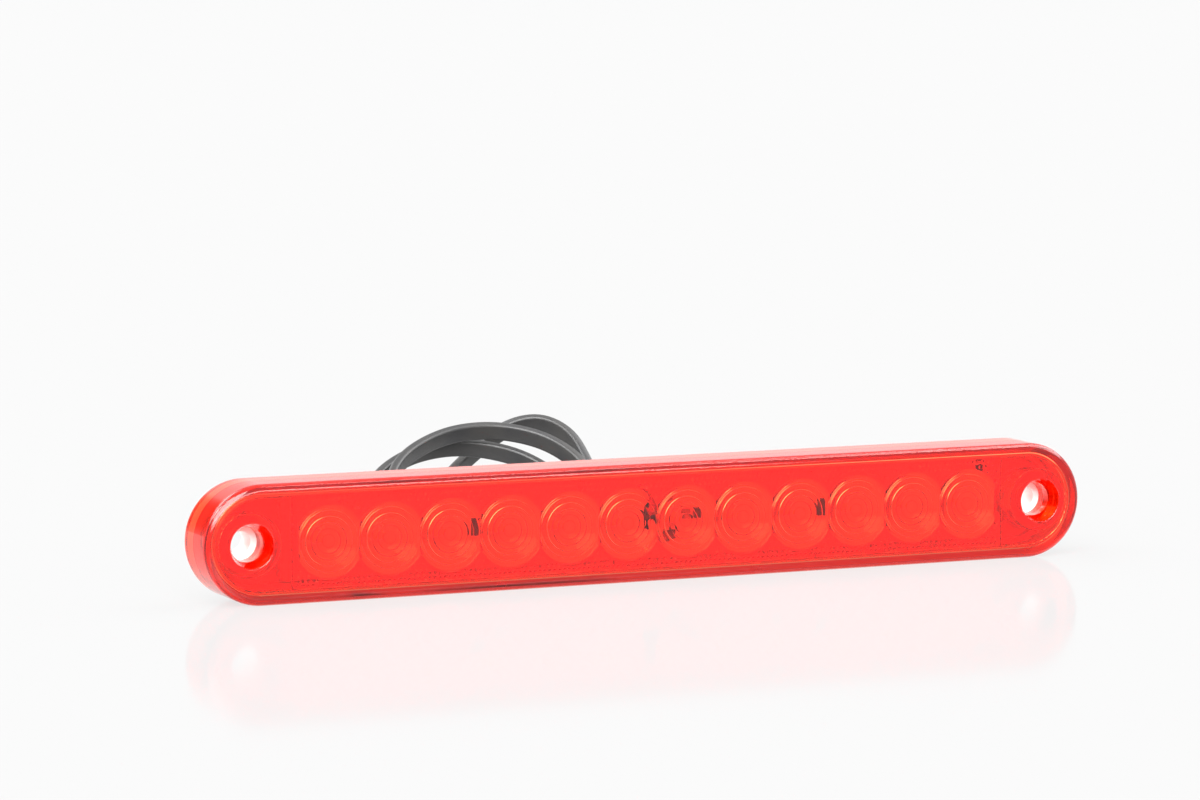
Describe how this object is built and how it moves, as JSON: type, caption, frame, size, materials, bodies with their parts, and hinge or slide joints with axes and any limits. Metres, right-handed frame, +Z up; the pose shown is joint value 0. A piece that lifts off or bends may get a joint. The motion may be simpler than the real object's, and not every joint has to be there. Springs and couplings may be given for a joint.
{
  "type": "third brake light",
  "caption": "Slim red LED third brake light with round ends, a screw hole at each end and a flat two-core cable leaving the middle of its back.",
  "frame": {"origin": "bottom centre of the lamp's body, standing on its long lower edge", "axes": "+X along the lamp, +Y out of the mounting face (the light leaves towards -Y), +Z up"},
  "size_m": [0.243, 0.0774, 0.0352],
  "materials": {
    "lens_red": "clear red, polished",
    "base_white": "fine satin",
    "sealant": "cured bead",
    "board_white": "white solder mask",
    "led_package": "moulded",
    "led_silicone": "clear dome",
    "chip_black": "moulded",
    "capacitor_ceramic": "fired",
    "solder": "reflowed",
    "gland_rubber": "moulded",
    "sheath_pvc": "satin extrusion",
    "core_red": "satin extrusion",
    "core_white": "satin extrusion"
  },
  "bodies": {
    "root": {"lens_cover": "lens_red", "base_housing": "base_white", "sealing_bead": "sealant", "circuit_board": "board_white", "led_1": "led_package", "led_2": "led_package", "led_3": "led_package", "led_4": "led_package", "led_5": "led_package", "led_6": "led_package", "led_7": "led_package", "led_8": "led_package", "led_9": "led_package", "led_10": "led_package", "led_11": "led_package", "led_12": "led_package", "led_window_1": "led_silicone", "led_window_2": "led_silicone", "led_window_3": "led_silicone", "led_window_4": "led_silicone", "led_window_5": "led_silicone", "led_window_6": "led_silicone", "led_window_7": "led_silicone", "led_window_8": "led_silicone", "led_window_9": "led_silicone", "led_window_10": "led_silicone", "led_window_11": "led_silicone", "led_window_12": "led_silicone", "resistor_1": "chip_black", "resistor_2": "chip_black", "resistor_3": "chip_black", "resistor_4": "chip_black", "input_diode": "chip_black", "surge_suppressor": "chip_black", "capacitor": "capacitor_ceramic", "solder_joints": "solder", "inner_lead_positive": "core_red", "inner_lead_negative": "core_white", "cable_gland": "gland_rubber", "cable_sheath": "sheath_pvc", "core_positive": "core_red", "core_negative": "core_white", "tinned_ends": "solder"}
  },
  "joints": []
}
